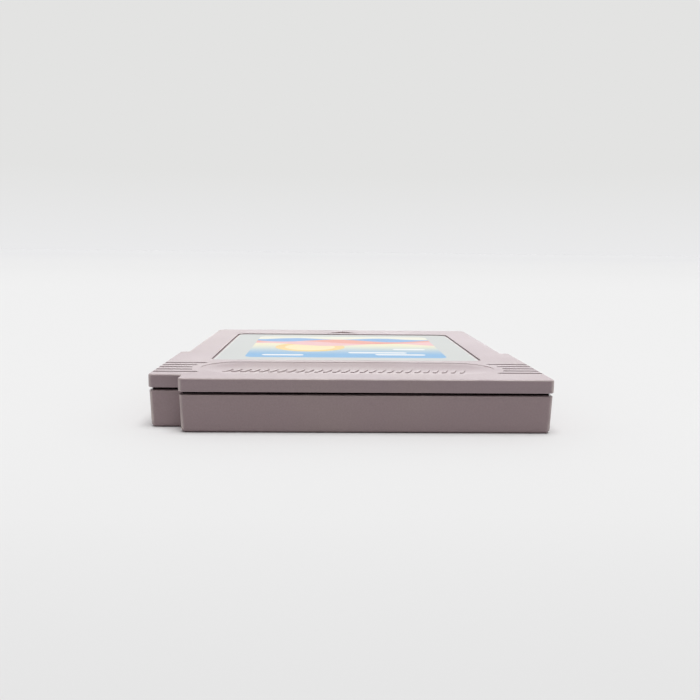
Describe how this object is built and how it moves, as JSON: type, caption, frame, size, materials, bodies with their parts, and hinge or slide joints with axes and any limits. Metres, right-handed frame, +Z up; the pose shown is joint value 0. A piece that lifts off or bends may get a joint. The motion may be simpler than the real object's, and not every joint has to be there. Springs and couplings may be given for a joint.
{
  "type": "game cartridge",
  "caption": "Flat grey plastic cartridge with a notched grip end, grip grooves, a recessed label and a plug mouth over an edge-contact board.",
  "frame": {"origin": "middle of the footprint on the rear face that it lies on", "axes": "+X to the right with the label upright, +Y along the length towards the grip end, +Z up out of the label face"},
  "size_m": [0.057, 0.0652, 0.0076],
  "materials": {
    "shell_plastic": "fine moulded grain",
    "label_paper": "coated print",
    "board_laminate": "solder mask",
    "contact_gold": "gold plated",
    "chip_moulding": "moulded epoxy",
    "lead_tin": "tinned",
    "capacitor_ceramic": "fired",
    "screw_steel": "zinc plated"
  },
  "bodies": {
    "root": {"front_shell": "shell_plastic", "rear_shell": "shell_plastic", "label": "label_paper", "circuit_board": "board_laminate", "edge_contacts": "contact_gold", "memory_chip": "chip_moulding", "memory_chip_leads": "lead_tin", "bank_switch_chip": "chip_moulding", "bank_switch_chip_leads": "lead_tin", "capacitors": "capacitor_ceramic", "capacitor_terminals": "lead_tin", "case_screw": "screw_steel"}
  },
  "joints": []
}
